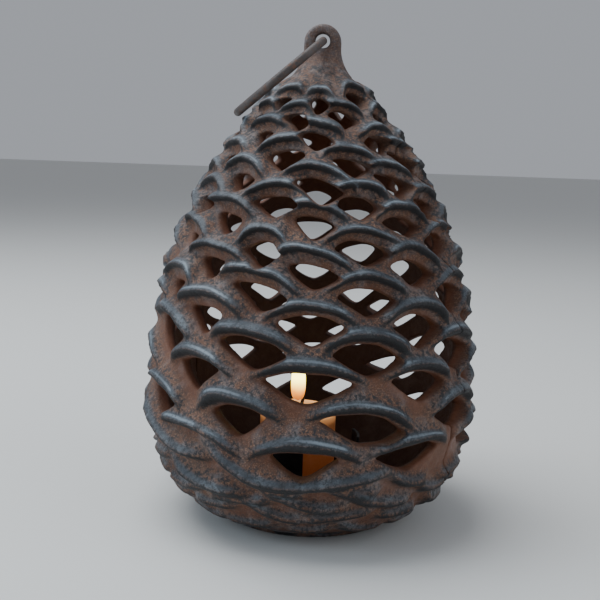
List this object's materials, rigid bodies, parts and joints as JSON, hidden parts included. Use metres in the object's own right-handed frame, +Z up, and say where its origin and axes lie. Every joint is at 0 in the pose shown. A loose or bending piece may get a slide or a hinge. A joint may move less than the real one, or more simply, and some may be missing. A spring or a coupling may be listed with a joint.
{
  "type": "candle lantern",
  "caption": "Openwork cast-iron candle lantern shaped like a pine cone, with a hinged rear half, a candle cup and a hanging ring.",
  "frame": {"origin": "centre of the foot, on the surface the lantern stands on", "axes": "+Z up along the body's axis; -Y is the front, the side that the lug's face and the open window before the flame look to"},
  "size_m": [0.1684, 0.1681, 0.24],
  "materials": {
    "cast_iron": "rusted, sandy casting with darker blue-grey lips",
    "ring_iron": "dark, lightly rusted round wire",
    "plate": "rusted, sooty",
    "cup": "matt black, heat-stained",
    "steel": "dull zinc, a little rusted",
    "wax": "peach-orange wax, translucent where it is lit",
    "wick": "charred cotton"
  },
  "bodies": {
    "body": {"front_shell": "cast_iron", "hinge_pins": "steel", "base_plate": "plate", "base_screws": "steel", "candle_cup": "cup", "cup_rivet": "steel"},
    "door": {"rear_door": "cast_iron"},
    "ring": {"ring_handle": "ring_iron"},
    "candle": {"candle": "wax", "wick": "wick"}
  },
  "joints": [
    {"name": "door_swing", "type": "hinge", "parent": "body", "child": "door", "pos_m": [-0.07838, 0.04525, 0.06], "axis": [0, 0, 1], "range_deg": [0, 110]},
    {"name": "ring_swing", "type": "hinge", "parent": "body", "child": "ring", "pos_m": [0, 0, 0.232], "axis": [0, 1, 0], "range_deg": [0, 262]},
    {"name": "candle_lift", "type": "slide", "parent": "body", "child": "candle", "axis": [0, 0, 1], "range_m": [0, 0.036]}
  ]
}
